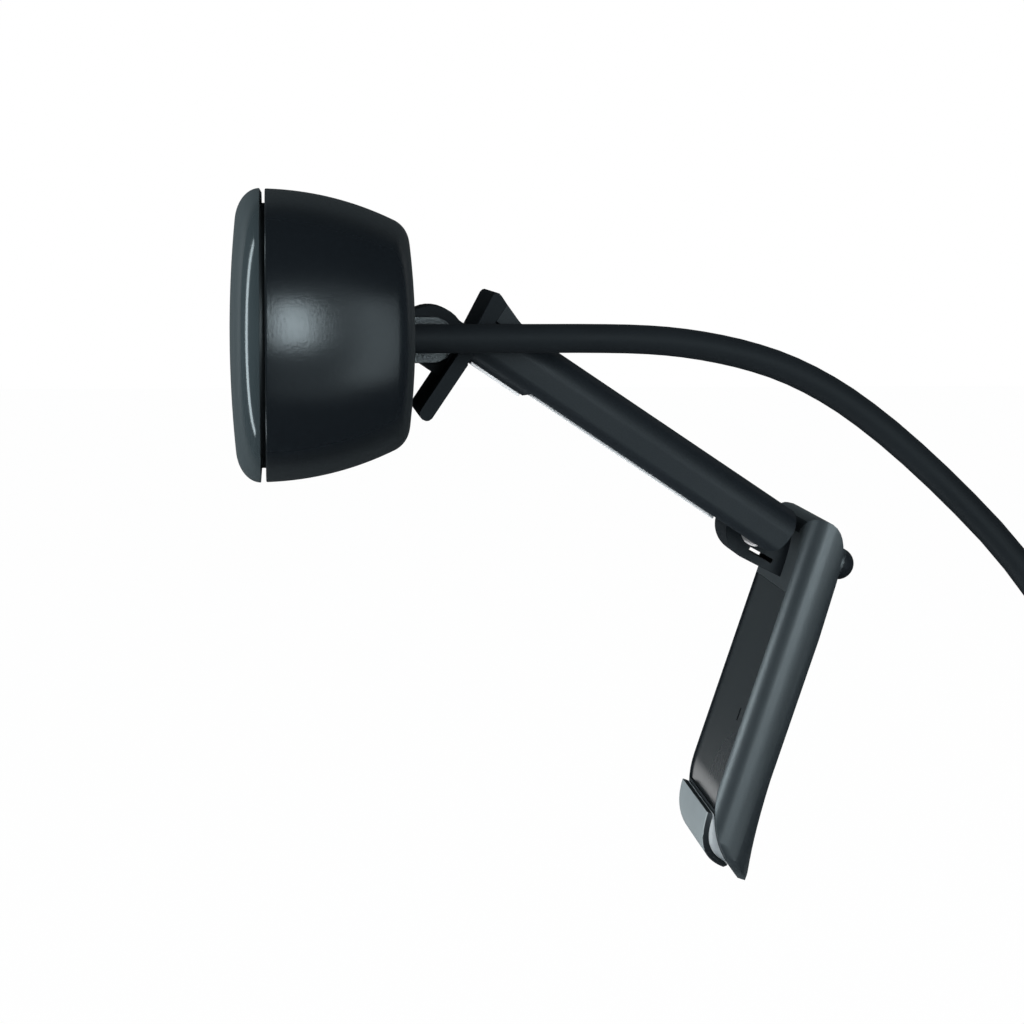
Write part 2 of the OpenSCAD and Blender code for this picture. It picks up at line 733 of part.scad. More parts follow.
// Hollow for the panel; its floor follows the leg's back
hollow_profile = concat(
  [for (p = inner_sweep) if (p[1] > foot_top + 0.1) p - [1, 0]],
  [[leg_out - 1.5, foot_top], [leg_out - 1.7, panel_top], [leg_in - 1, panel_top]]
);

// Cross section of the leg: full round edges behind, lesser ones in front
back_round = 4.2;
front_round = 2.7;
module leg_section() {
  translate([0, 0, -leg_l - 5]) linear_extrude(height = leg_l + 20) intersection() {
    translate([tip_out - 10, 0]) round_rect(20, leg_w, back_round);
    translate([leg_in - 0.5 + 10, 0]) round_rect(20, leg_w, front_round);
  }
}

// The leg seen from the front: straight sides and a rounded end
module leg_front(w, r) {
  rotate([90, 0, 90]) linear_extrude(height = 30) union() {
    translate([-w / 2, -leg_l + r]) square([w, leg_l + 20]);
    translate([-w / 2 + r, -leg_l - 1]) square([w - 2 * r, 20]);
    for (side = [-1, 1]) translate([side * (w / 2 - r), -leg_l + r]) circle(r);
  }
}

module leg_shell() {
  color(black) in_leg() difference() {
    union() {
      difference() {
        intersection() {
          across(leg_w) polygon(leg_profile);
          leg_front(leg_w, 4);
          leg_section();
        }
        across(leg_w - 2 * leg_wall) polygon(hollow_profile);
      }
      across(fold_knuckle_w) union() {
        circle(fold_knuckle_r);
        polygon(web_profile);
      }
      // finger bead across the back
      translate([leg_out - 0.25, 0, bead_z]) {
        cross_rod(bead_r, leg_w - 8);
        for (side = [-1, 1]) translate([0, side * (leg_w / 2 - 4), 0]) sphere(bead_r);
      }
    }
    cross_rod(fold_pin_r + seat_gap, 40);
    // the web is slotted right through
    translate([0, 0, 1.25 - fold_knuckle_r]) rotate([0, 10, 0]) block([0, -20, -0.25], [3, 20, 0.25]);
  }
}

// Face of the panel, a step below the leg's rim
panel_face = [for (p = inner_sweep) if (p[1] > foot_top + 0.6) p + [panel_in - leg_in, 0]];

module leg_panel() {
  color(gloss_black) in_leg() difference() {
    across(leg_w - 2 * leg_wall - 2 * fit_gap) polygon(concat(
      panel_face,
      [[leg_out - 1.6, foot_top + fit_gap], [leg_out - 1.8, panel_top - fit_gap], [panel_in, panel_top - fit_gap]]
    ));
    // hollow behind the face
    block([panel_in + panel_t, -leg_w / 2 + leg_wall + 1.2, sweep_start], [20, leg_w / 2 - leg_wall - 1.2, panel_top - 1.2]);
    // catch slot
    block([0, -8, -21], [10, -7.2, -19.5]);
  }
}

// Rubber pad on the inner side of the leg's end
foot_face = bow([leg_in - 0.35, foot_top], [leg_in - 0.2, -leg_l + 1], [tip_out - 2.7, -leg_l + 0.5], 10);
foot_back = [for (i = [len(inner_sweep) - 1:-1:0]) let (p = inner_sweep[i])
  if (p[1] < foot_top - 0.1 && p[0] < tip_out - 2.2) p - [0.02, 0.02]];

module foot_pad() {
  color(rubber_grey) in_leg() intersection() {
    across(leg_w - 2.4) polygon(concat(foot_face, foot_back, [[leg_in + 0.45, foot_top]]));
    leg_front(leg_w - 2.4, 6);
  }
}

// ---------------------------------------------------------------- lead

cord_r = cord_d / 2;
exit_x = seam_x + housing_d - 0.05;
exit_z = head_z - cord_drop;
// The lead's way from the head to the coil, from the exit back and up
cord_way = [[0, 0], [6, 0], [13, 0], [20, 0], [25, -0.1], [29, -0.4], [33, -1], [37, -1.9],
            [41, -3.2], [45, -5.1], [49, -7.6], [54, -11.5], [60, -17], [66, -23.2],
            [71, -29.8], [74, -36.6], [75.6, -43.6], [76, -50.6]];
coil_x = exit_x + cord_way[len(cord_way) - 1][0];  // middle of the layer that the lead enters
coil_top_z = exit_z - 58;           // height of the coil's middle
row_out = coil_r + (coil_rows - 1) / 2 * cord_d;
coil_y = -cord_y - row_out;
coil_end_x = coil_x + (coil_layers - 1) * cord_d;
tail_l = 34;
tail_end = coil_top_z - tail_l;

// A round tube through the points of a way
function unit(v) = v / norm(v);
function heading(way, i) =
  unit(way[min(i + 1, len(way) - 1)] - way[max(i - 1, 0)]);
module tube(way, r, sides = 8) {
  rings = [for (i = [0:len(way) - 1]) let (t = heading(way, i), s = unit(cross(t, [0, 1, 0.001])), u = cross(s, t))
    for (k = [0:sides - 1]) way[i] + r * (cos(360 * k / sides) * s + sin(360 * k / sides) * u)];
  n = len(way);
  walls = [for (i = [0:n - 2], k = [0:sides - 1]) let (a = i * sides + k, b = i * sides + (k + 1) % sides)
    each [[a, b, b + sides], [a, b + sides, a + sides]]];
  caps = [[for (k = [sides - 1:-1:0]) k], [for (k = [0:sides - 1]) (n - 1) * sides + k]];
  polyhedron(points = rings, faces = concat(walls, caps), convexity = 6);
}

module cord() {
  color(black) tube(concat(
    [for (p = cord_way) [exit_x + p[0], -cord_y, exit_z + p[1]]],
    [[coil_x, -cord_y, coil_top_z + 6]]
  ), cord_r);
}

module cord_coil() {
  h = coil_rows * cord_d;
  w = coil_layers * cord_d;
  color(black) translate([(coil_x + coil_end_x) / 2, coil_y, coil_top_z]) rotate([0, 90, 0])
    rotate_extrude($fn = 64) translate([coil_r, 0]) round_rect(h, w, cord_r);
}

module cord_tail() {
  color(black) tube([for (i = [1:6]) [coil_end_x, -cord_y, coil_top_z - tail_l * i / 6]], cord_r);
}

tie_w = 6;
tie_t = 0.8;
module cord_tie() {
  inner_h = coil_rows * cord_d + 0.8;
  inner_w = coil_layers * cord_d + 0.5;
  color([0.05, 0.05, 0.055]) translate([(coil_x + coil_end_x) / 2, coil_y + coil_r + 0.1, coil_top_z])
    linear_extrude(height = tie_w, center = true) difference() {
      round_rect(inner_w + 2 * tie_t, inner_h + 2 * tie_t, 1.6);
      round_rect(inner_w, inner_h, 0.9);
    }
}

// The plug hangs from the tail; its frame has Z down the plug from the tail's end
plug_w = 15.4;
plug_h = 7.6;
relief_l = 9;
body_l = 22;
shell_w = 12;
shell_h = 4.5;
shell_l = 12;
shell_wall = 0.3;
module in_plug() {
  translate([coil_end_x, -cord_y, tail_end]) rotate([180, 0, 0]) children();
}

module plug_body() {
  color(black) in_plug() difference() {
    union() {
      cylinder(r1 = 2.3, r2 = 3.2, h = relief_l);
      translate([0, 0, relief_l]) linear_extrude(height = body_l) round_rect(plug_h, plug_w, 2);
    }
    translate([0, 0, -1]) cylinder(r = cord_r + 0.02, h = 4);
    translate([0, 0, relief_l + body_l - 3]) linear_extrude(height = 4)
      round_rect(shell_h + 2 * seat_gap, shell_w + 2 * seat_gap, 0.5);
  }
}

module plug_shell() {
  color(steel) in_plug() translate([0, 0, relief_l + body_l - 3]) difference() {
    linear_extrude(height = shell_l + 3) round_rect(shell_h, shell_w, 0.5);
    translate([0, 0, 0.6]) linear_extrude(height = shell_l + 3) round_rect(shell_h - 2 * shell_wall, shell_w - 2 * shell_wall, 0.3);
    // the two square latch holes on each flat side
    for (side = [-1, 1]) block([-5, side * 3 - 1.2, shell_l - 4.2], [5, side * 3 + 1.2, shell_l - 2.2]);
  }
}

module plug_tongue() {
  color([0.9, 0.9, 0.92]) in_plug() translate([0, 0, relief_l + body_l - 2.35])
    block([-shell_h / 2 + shell_wall + 0.02, -5.6, 0], [-0.1, 5.6, shell_l + 1.6]);
}

module plug_contacts() {
  color(gold) in_plug() translate([0, 0, relief_l + body_l]) for (y = [-3.5, -1, 1, 3.5])
    block([-0.1, y - 0.5, 0], [0.15, y + 0.5, shell_l - 2]);
}

face_plate();
lens_ring();
lens_window();
lens_barrel();
lens_front();
lens_rear();
lens_holder();
ir_filter();
image_sensor();
main_board();
bridge_chip();
board_parts();
board_screws();
lead_socket();
lead_plug();
signal_wires();
cord_anchor();
cord_grommet();
mic_boot();
mic_capsule();
status_led();
light_pipe();
rear_housing();
tilt_bracket();
bracket_screws();
front_lip();
tilt_pin();
tilt_washers();
arm_shell();
arm_base();
arm_screws();
front_pad();
rear_pad();
fold_pin();
fold_washers();
leg_shell();
leg_panel();
foot_pad();
cord();
cord_coil();
cord_tail();
cord_tie();
plug_body();
plug_shell();
plug_tongue();
plug_contacts();
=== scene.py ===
"""Desk camera on a folding screen clip, with its USB lead: shapes and finishes."""
import json
import math

import bmesh
import bpy
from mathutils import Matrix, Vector


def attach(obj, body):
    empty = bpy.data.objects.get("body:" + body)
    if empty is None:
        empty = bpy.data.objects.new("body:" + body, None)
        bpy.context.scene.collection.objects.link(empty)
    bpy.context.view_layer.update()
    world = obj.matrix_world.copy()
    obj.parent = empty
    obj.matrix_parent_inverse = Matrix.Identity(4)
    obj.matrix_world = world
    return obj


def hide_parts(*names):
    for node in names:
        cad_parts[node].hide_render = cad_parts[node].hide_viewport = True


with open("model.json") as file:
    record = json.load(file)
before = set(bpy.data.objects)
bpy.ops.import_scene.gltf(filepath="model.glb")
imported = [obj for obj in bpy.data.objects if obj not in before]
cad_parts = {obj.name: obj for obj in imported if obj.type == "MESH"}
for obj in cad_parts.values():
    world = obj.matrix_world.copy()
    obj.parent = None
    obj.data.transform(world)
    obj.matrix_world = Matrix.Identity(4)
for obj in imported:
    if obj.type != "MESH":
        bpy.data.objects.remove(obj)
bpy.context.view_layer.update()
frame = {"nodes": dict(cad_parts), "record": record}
MM = 0.001
nodes = frame["nodes"]


# ------------------------------------------------------------------ camera

CAMERA_PLACE = (-38.0, -390.0, 25.99)
CAMERA_TARGET = (-11.59, 0, -6.87)


def add_camera():
    """A 120 mm lens beside the head, a little above it and in front of its face plate."""
    data = bpy.data.cameras.new("view")
    data.lens = 120
    data.sensor_width = 36
    data.clip_start = 0.02
    data.clip_end = 30
    cam = bpy.data.objects.new("view", data)
    bpy.context.scene.collection.objects.link(cam)
    place = Vector(CAMERA_PLACE) * MM
    target = Vector(CAMERA_TARGET) * MM
    cam.location = place
    cam.rotation_euler = (target - place).to_track_quat("-Z", "Y").to_euler()
    bpy.context.scene.camera = cam


add_camera()
bpy.context.scene.view_settings.view_transform = "Standard"

# ------------------------------------------------------------------ sizes, in millimetres

HEAD_W, HEAD_H = 73.0, 31.6
HOUSING_D, WALL = 16.1, 1.4
PLATE_T, SEAM_GAP = 3.3, 0.55
PORT_Y = 16.0
RING_R, WINDOW_R = 8.4, 5.3
FIT_GAP = 0.1

# The tilt axis and the head's place follow from the arm's slope
ARM_TILT = math.radians(34)
TILT_U, TILT_W = -24.8, -0.85
TILT_X = TILT_U * math.cos(ARM_TILT) + TILT_W * math.sin(ARM_TILT)
TILT_Z = -TILT_U * math.sin(ARM_TILT) + TILT_W * math.cos(ARM_TILT)
BACK_TO_TILT, TILT_BELOW_MIDDLE = 2.5, 0.95
SEAM_X = TILT_X - BACK_TO_TILT - HOUSING_D
HEAD_Z = TILT_Z + TILT_BELOW_MIDDLE


def rounded(x):
    return x * x * (3 - 2 * x)


# ------------------------------------------------------------------ lead

LEAD_D = 3.2
LEAD_Y = -15.5
LEAD_DROP = 0.55
COIL_R, COIL_ROWS, COIL_LAYERS = 18.0, 3, 4
COIL_FALL = 58.0
TAIL_L, TAIL_STEPS, TAIL_IN_PLUG = 34.0, 6, 1.8
SHIFT_FROM = 0.72                   # share of a turn after which it moves to the next
EXIT_X = SEAM_X + HOUSING_D - 0.05
EXIT_Z = HEAD_Z - LEAD_DROP
# The lead's way from the head to the coil, from the exit back and up
LEAD_WAY = [(0, 0), (6, 0), (13, 0), (20, 0), (25, -0.1), (29, -0.4), (33, -1), (37, -1.9),
            (41, -3.2), (45, -5.1), (49, -7.6), (54, -11.5), (60, -17), (66, -23.2),
            (71, -29.8), (74, -36.6), (75.6, -43.6), (76, -50.6)]


def coil_points(x, y, z, per_turn=32):
    """The coil's turns, row by row and layer by layer, from the top of its outer side."""
    rows = [COIL_R + LEAD_D * ((COIL_ROWS - 1) / 2 - i) for i in range(COIL_ROWS)]
    wound = []
    for layer in range(COIL_LAYERS):
        order = rows if layer % 2 == 0 else rows[::-1]
        wound += [(r, x + LEAD_D * layer) for r in order]
    middle = y - rows[0]
    out = []
    for (r, at), (r2, at2) in zip(wound, wound[1:] + wound[-1:]):
        for i in range(per_turn):
            t = i / per_turn
            shift = rounded(max(0.0, (t - SHIFT_FROM) / (1 - SHIFT_FROM)))
            radius = r + (r2 - r) * shift
            angle = 2 * math.pi * t
            out.append((at + (at2 - at) * shift,
                        middle + radius * math.cos(angle), z - radius * math.sin(angle)))
    return out


def lead_points():
    """The lead's middle line, from the head's back to the plug."""
    pts = [(EXIT_X + x, LEAD_Y, EXIT_Z + z) for x, z in LEAD_WAY]
    coil_x = EXIT_X + LEAD_WAY[-1][0]
    coil_z = EXIT_Z - COIL_FALL
    pts += coil_points(coil_x, LEAD_Y, coil_z)
    end_x = coil_x + LEAD_D * (COIL_LAYERS - 1)
    pts += [(end_x, LEAD_Y, coil_z - TAIL_L * i / TAIL_STEPS) for i in range(TAIL_STEPS + 1)]
    pts.append((end_x, LEAD_Y, coil_z - TAIL_L - TAIL_IN_PLUG))
    return [Vector(p) * MM for p in pts]


def cut_corners(pts):
    """One round of corner cutting that keeps both ends."""
    new = [pts[0]]
    for a, b in zip(pts, pts[1:]):
        new += [a.lerp(b, 0.25), a.lerp(b, 0.75)]
    return new + [pts[-1]]


def add_lead():
    data = bpy.data.curves.new("lead", "CURVE")
    data.dimensions = "3D"
    data.bevel_depth = 1.0          # each point's radius is the lead's own
    data.bevel_resolution = 8
    data.use_fill_caps = True
    pts = cut_corners(lead_points())
    spline = data.splines.new("POLY")
    spline.points.add(len(pts) - 1)
    for p, co in zip(spline.points, pts):
        p.co = (*co, 1)
        p.radius = LEAD_D / 2 * MM
    spline.use_smooth = True
    obj = bpy.data.objects.new("lead", data)
    bpy.context.scene.collection.objects.link(obj)
    return obj


lead = add_lead()
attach(lead, "head")
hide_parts("cord", "cord_coil", "cord_tail")

# ------------------------------------------------------------------ mesh helpers


def link_mesh(name, mesh):
    obj = bpy.data.objects.new(name, mesh)
    bpy.context.scene.collection.objects.link(obj)
    return obj


def shade(mesh, angle=32):
    """Smooth faces, with sharp edges where two faces meet at more than the angle."""
    mesh.polygons.foreach_set("use_smooth", [True] * len(mesh.polygons))
    mesh.set_sharp_from_angle(angle=math.radians(angle))


def ring_mesh(name, rings, angle=32):
    """A closed skin through rings of equal point count, capped at its first and last ring."""
    bm = bmesh.new()
    loops = [[bm.verts.new(Vector(p) * MM) for p in ring] for ring in rings]
    count = len(loops[0])
    for a, b in zip(loops, loops[1:]):
        for i in range(count):
            j = (i + 1) % count
            bm.faces.new((a[i], a[j], b[j], b[i]))
    bm.faces.new(loops[0][::-1])
    bm.faces.new(loops[-1])
    bmesh.ops.remove_doubles(bm, verts=bm.verts, dist=1e-7)
    bmesh.ops.recalc_face_normals(bm, faces=bm.faces)
    mesh = bpy.data.meshes.new(name)
    bm.to_mesh(mesh)
    bm.free()
    shade(mesh, angle)
    return link_mesh(name, mesh)


def head_skin(name, profile, steps=160):
    """A skin whose side view is the profile of (depth, radius) and whose front is a stadium."""
    half = (HEAD_W - HEAD_H) / 2
    rings = []
    for x, r in profile:
        ring = []
        for i in range(steps):
            a = 2 * math.pi * (i + 0.5) / steps
            side = half if math.cos(a) > 0 else -half
            ring.append((SEAM_X + x, side + r * math.cos(a), HEAD_Z + r * math.sin(a)))
        rings.append(ring)
    return ring_mesh(name, rings)


def lathe(name, profile, y=0.0, z=0.0, steps=96, angle=32):
    """A skin turned about a fore-and-aft line at y, z from the head's middle."""
    rings = [[(SEAM_X + x, y + r * math.cos(2 * math.pi * i / steps),
               HEAD_Z + z + r * math.sin(2 * math.pi * i / steps)) for i in range(steps)]
             for x, r in profile]
    return ring_mesh(name, rings, angle)


def fore_plate(name, w, h, r, x0, x1, y=0.0, z=0.0, corner=8):
    """A rounded rectangle from x0 to x1, its corners of radius r."""
    outline = []
    for k, (cy, cz) in enumerate([(1, 1), (-1, 1), (-1, -1), (1, -1)]):
        for i in range(corner + 1):
            a = math.radians(90 * k + 90 * i / corner)
            outline.append((y + cy * (w / 2 - r) + r * math.cos(a),
                            z + cz * (h / 2 - r) + r * math.sin(a)))
    rings = [[(SEAM_X + x, py, HEAD_Z + pz) for py, pz in outline] for x in (x0, x1)]
    return ring_mesh(name, rings)


def cut(piece, *tools):
    """Takes the tools out of the piece and removes them."""
    for tool in tools:
        mod = piece.modifiers.new("cut", "BOOLEAN")
        mod.object = tool
        mod.solver = "EXACT"
        bpy.context.view_layer.update()
        apply_modifiers(piece)
        bpy.data.objects.remove(tool)
    shade(piece.data)


def apply_modifiers(piece):
    graph = bpy.context.evaluated_depsgraph_get()
    done = bpy.data.meshes.new_from_object(piece.evaluated_get(graph), depsgraph=graph)
    piece.modifiers.clear()
    piece.data = done


def even_shading(piece):
    """Keeps broad flats flat beside their rounded edges."""
    mod = piece.modifiers.new("even", "WEIGHTED_NORMAL")
    mod.mode = "FACE_AREA"
    mod.weight = 60
    mod.keep_sharp = True
    bpy.context.view_layer.update()
    apply_modifiers(piece)


def arc(mid, r, start, end, steps):
    """Points (depth, radius) round mid; angles in degrees, 0 outward and 90 to the back."""
    turns = [math.radians(start + (end - start) * i / steps) for i in range(steps + 1)]
    return [(mid[0] + r * math.sin(a), mid[1] + r * math.cos(a)) for a in turns]


BODY_OF = {n: body for body, names in frame["record"]["behaviour"]["bodies"].items() for n in names}
SLOT_OF = {s["node"]: s["material_slot"] for s in frame["record"]["subparts"]}


def stand_for(piece, *names):
    """The piece rides and is shown in place of the named nodes."""
    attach(piece, BODY_OF[names[0]])
    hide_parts(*names)
    return piece


def eased(node, name, width, segments=3, limit=35, angle=32):
    """A copy of a node with its edges rounded, as a mould leaves them."""
    bm = bmesh.new()
    bm.from_mesh(nodes[node].data)
    bmesh.ops.remove_doubles(bm, verts=bm.verts, dist=2e-6)
    bmesh.ops.dissolve_limit(bm, angle_limit=math.radians(0.6), verts=bm.verts, edges=bm.edges)
    mesh = bpy.data.meshes.new(name)
    bm.to_mesh(mesh)
    bm.free()
    piece = link_mesh(name, mesh)
    bevel = piece.modifiers.new("round", "BEVEL")
    bevel.width = width * MM
    bevel.segments = segments
    bevel.limit_method = "ANGLE"
    bevel.angle_limit = math.radians(limit)
    bevel.use_clamp_overlap = True
    bevel.loop_slide = True
    bpy.context.view_layer.update()
    apply_modifiers(piece)
    shade(piece.data, angle)
    even_shading(piece)
    return stand_for(piece, node)


# ------------------------------------------------------------------ head

SIDE_R, SIDE_START, SIDE_TURN = 33.5, 1.8, 26.0
BACK_EDGE_R, BACK_TURN = 2.9, 83.0


def add_housing():
    """The deep rear shell: a long side arc, a tight back edge and a crowned back."""
    half = HEAD_H / 2
    s = math.radians(SIDE_START)
    side_mid = (-SIDE_R * math.sin(s), half - SIDE_R * math.cos(s))
    side = arc(side_mid, SIDE_R, SIDE_START, SIDE_TURN, 20)
    t = math.radians(SIDE_TURN)
    edge_mid = (side[-1][0] - BACK_EDGE_R * math.sin(t), side[-1][1] - BACK_EDGE_R * math.cos(t))
    edge = arc(edge_mid, BACK_EDGE_R, SIDE_TURN, BACK_TURN, 12)[1:]
    crown_r = edge[-1][1] / math.cos(math.radians(BACK_TURN))
    crown_mid = (edge[-1][0] - crown_r * math.sin(math.radians(BACK_TURN)), 0)
    crown = arc(crown_mid, crown_r, BACK_TURN, 90, 6)[1:]
    more = HOUSING_D - crown[-1][0]
    outer = [(x + more, r) for x, r in side + edge + crown]
    floor = HOUSING_D - WALL - 0.2
    inner = [(x + more, r) for x, r in arc(side_mid, SIDE_R - WALL, 23, SIDE_START, 10)]
    rim = [(0, half - WALL), (0, half - 0.12), (0.035, half - 0.035), (0.12, half)]
    shell = head_skin("housing", [(floor, 0.0), (floor, inner[0][1] - 3.4)] + inner + rim + outer)
    window = fore_plate("window_cut", 16.3, 10, 1, floor - 1, HOUSING_D + 1, z=-TILT_BELOW_MIDDLE)
    lead_hole = lathe("lead_cut", [(floor - 1, 2.3), (HOUSING_D + 1, 2.3)], LEAD_Y, -LEAD_DROP)
    cut(shell, window, lead_hole)
    return stand_for(shell, "rear_housing")


EDGE_D, EDGE_H, EDGE_START = 2.7, 3.8, 8.0


def plate_front_profile():
    """The face plate's crown and its elliptical edge, from the middle out."""
    back, half = -SEAM_GAP, HEAD_H / 2 + 0.05
    s = math.radians(EDGE_START)
    end_z = half - EDGE_H * (1 - math.sin(s))
    drop = PLATE_T - EDGE_D * math.cos(s)
    crown_r = (end_z ** 2 + drop ** 2) / (2 * drop)
    front = back - PLATE_T
    turn = math.asin(end_z / crown_r)
    crown = [(front + crown_r * (1 - math.cos(turn * i / 10)), crown_r * math.sin(turn * i / 10))
             for i in range(10)]
    edge = []
    for i in range(19):
        a = s + (math.radians(86) - s) * i / 18
        edge.append((back - EDGE_D * math.cos(a), half - EDGE_H * (1 - math.sin(a))))
    return crown + edge


def add_face():
    """The lacquered face plate with its lens seat, light hole and microphone slot."""
    half = HEAD_H / 2 + 0.05
    front = -SEAM_GAP - PLATE_T
    spigot = HEAD_H / 2 - WALL - FIT_GAP - 0.03
    skin = plate_front_profile() + [(-SEAM_GAP - 0.06, half), (-SEAM_GAP, half - 0.06),
                                    (-SEAM_GAP, spigot), (1.6, spigot), (1.6, spigot - 1.1),
                                    (-SEAM_GAP - 1.4, spigot - 1.1), (-SEAM_GAP - 1.4, 0)]
    plate = head_skin("face", skin)
    seat = lathe("seat_cut", [(front - 1, RING_R + 0.5), (front + 0.1, RING_R + 0.18),
                              (front + 0.3, RING_R), (front + 1.2, RING_R)])
    shelf = lathe("shelf_cut", [(front - 1, WINDOW_R + FIT_GAP), (front + 1.7, WINDOW_R + FIT_GAP)])
    hole = lathe("hole_cut", [(front - 1, WINDOW_R - 0.8), (0, WINDOW_R - 0.8)])
    light = lathe("light_cut", [(front - 1, 1.3), (front + 0.15, 0.87), (0, 0.85)], -PORT_Y,
                  steps=32)
    slot = fore_plate("mic_cut", 3.2, 0.8, 0.35, front - 1, 0, PORT_Y)
    cut(plate, seat, shelf, hole, light, slot)
    return stand_for(plate, "face_plate")


housing = add_housing()
face = add_face()

# ------------------------------------------------------------------ leg's panel and foot

FOLD_U, FOLD_W = 18.1, 1.6
FOLD_X = FOLD_U * math.cos(ARM_TILT) + FOLD_W * math.sin(ARM_TILT)
FOLD_Z = -FOLD_U * math.sin(ARM_TILT) + FOLD_W * math.cos(ARM_TILT)
LEG_LEAN = math.radians(18.7)
LEG_W, LEG_L, LEG_IN, LEG_WALL = 26.0, 37.9, 4.4, 1.25
TIP_OUT = LEG_IN + 5.3 + 1.5
PANEL_TOP, FOOT_TOP = -5.2, -LEG_L + 6.4
SWEEP_START = -LEG_L + 9.8
FOOT_HALF, FOOT_R, FOOT_SKIN = (LEG_W - 2.4) / 2, 6.0, 0.8
SLOT_LEFT, SLOT_RIGHT, SLOT_BOTTOM, SLOT_TOP = -8.0, -7.2, -21.0, -19.5


def leg_point(u, y, w):
    """A place in the leg's own frame: u from its inner to its outer side, w up."""
    return (FOLD_X + u * math.cos(LEG_LEAN) + w * math.sin(LEG_LEAN), y,
            FOLD_Z - u * math.sin(LEG_LEAN) + w * math.cos(LEG_LEAN))


def bow(a, b, c, t):
    return tuple((1 - t) ** 2 * p + 2 * t * (1 - t) * q + t * t * r for p, q, r in zip(a, b, c))


def inner_sweep(t):
    """The leg's inner face as it sweeps back to its end."""
    return bow((LEG_IN, SWEEP_START), (LEG_IN + 0.1, -LEG_L + 3.8), (TIP_OUT - 0.9, -LEG_L), t)


def leg_strip(name, fronts, backs, halves, edge):
    """A strip across the leg between two side lines, its front edges rounded."""
    rings = []
    for (u0, w0), (u1, w1), half in zip(fronts, backs, halves):
        thick = math.hypot(u1 - u0, w1 - w0)
        ease = min(edge, thick * 0.6)
        section = []
        for side in (-1, 1):
            turns = [math.radians(a) for a in (0, 22.5, 45, 67.5, 90)]
            turn = [(ease * (1 - math.sin(a)), half - ease * (1 - math.cos(a))) for a in turns]
            corner = [(thick, half)] + turn
            corner = [(d, side * y) for d, y in corner]
            section += corner if side < 0 else corner[::-1]
        ring = []
        for d, y in section:
            f = d / thick
            ring.append(leg_point(u0 + (u1 - u0) * f, y, w0 + (w1 - w0) * f))
        rings.append(ring)
    return ring_mesh(name, rings)


def add_panel():
    """The glossy inner panel, with its small catch slot."""
    face_line = [(LEG_IN + 0.2, PANEL_TOP - 0.1), (LEG_IN + 0.2, SWEEP_START)]
    for i in range(1, 25):
        u, w = inner_sweep(i / 24)
        if w > FOOT_TOP + 0.05:
            face_line.append((u + 0.2, w))
    face_line.append((LEG_IN + 0.76, FOOT_TOP + 0.05))
    backs = [(u + 1.2, w) for u, w in face_line]
    half = LEG_W / 2 - LEG_WALL - 0.1
    piece = leg_strip("panel", face_line, backs, [half] * len(face_line), 0.15)
    corners = ((SLOT_LEFT, SLOT_BOTTOM), (SLOT_RIGHT, SLOT_BOTTOM),
               (SLOT_RIGHT, SLOT_TOP), (SLOT_LEFT, SLOT_TOP))
    slot = [[leg_point(u, y, w) for y, w in corners] for u in (LEG_IN - 1, LEG_IN + 1.1)]
    cut(piece, ring_mesh("slot_tool", slot))
    even_shading(piece)
    return stand_for(piece, "leg_panel")


def add_foot():
    """The foot's pad, its face a mid grey that is painted light on black rubber and its rim black,
    and the pale seat behind it, whose sides are a painted highlight.
    """
    fronts, skins, backs, halves = [], [], [], []
    for i in range(25):
        t = i / 24
        u0, w0 = bow((LEG_IN - 0.35, FOOT_TOP), (LEG_IN - 0.2, -LEG_L + 1),
                     (TIP_OUT - 2.7, -LEG_L + 0.5), t)
        u1, w1 = (LEG_IN + 0.45, FOOT_TOP) if i == 0 else inner_sweep(0.30 + 0.58 * t)
        u1, w1 = u1 - 0.03, w1 - 0.03 * t
        thick = math.hypot(u1 - u0, w1 - w0)
        part = min(0.85, FOOT_SKIN / thick)
        fronts.append((u0, w0))
        skins.append((u0 + (u1 - u0) * part, w0 + (w1 - w0) * part))
        backs.append((u1, w1))
        drop = max(0.0, -LEG_L + FOOT_R - w0)
        halves.append(FOOT_HALF - FOOT_R + math.sqrt(max(0.0, FOOT_R ** 2 - drop ** 2)))
    pad = leg_strip("foot", fronts, skins, halves, 0.22)
    # The seat's pale sides, a little narrower than the pad, show beside its dark rim as a painted
    # highlight
    seat = leg_strip("foot_seat_highlight", skins, backs, [h - 0.15 for h in halves], 0.02)
    for piece in (pad, seat):
        even_shading(piece)
        stand_for(piece, "foot_pad")
    return pad, seat


# ------------------------------------------------------------------ clip, leg and plug

arm = eased("arm_shell", "arm", 0.35)
lip = eased("front_lip", "lip", 0.25)
leg = eased("leg_shell", "leg", 0.35)
panel = add_panel()
foot, foot_seat_highlight = add_foot()
bracket = eased("tilt_bracket", "bracket", 0.2)
pads = [eased("front_pad", "lip_pad", 0.08), eased("rear_pad", "rest_pad", 0.1)]
tie = eased("cord_tie", "tie", 0.2)
plug = eased("plug_body", "plug", 0.5)
shell = eased("plug_shell", "usb_shell", 0.08)

# ------------------------------------------------------------------ node groups


def new_group(name, inputs, outputs):
    """A shader node group with named float or colour sockets."""
    group = bpy.data.node_groups.new(name, "ShaderNodeTree")
    for label, kind, value in inputs:
        socket = group.interface.new_socket(label, in_out="INPUT", socket_type=kind)
        socket.default_value = value
    for label, kind in outputs:
        group.interface.new_socket(label, in_out="OUTPUT", socket_type=kind)
    start = group.nodes.new("NodeGroupInput")
    end = group.nodes.new("NodeGroupOutput")
    return group, start, end


def link(tree, a, b):
    tree.links.new(a, b)


def math_node(tree, kind, a, b=None):
    n = tree.nodes.new("ShaderNodeMath")
    n.operation = kind
    for socket, value in zip(n.inputs, (a, b)):
        if value is None:
            continue
        if isinstance(value, (int, float)):
            socket.default_value = value
        else:
            link(tree, value, socket)
    return n.outputs[0]


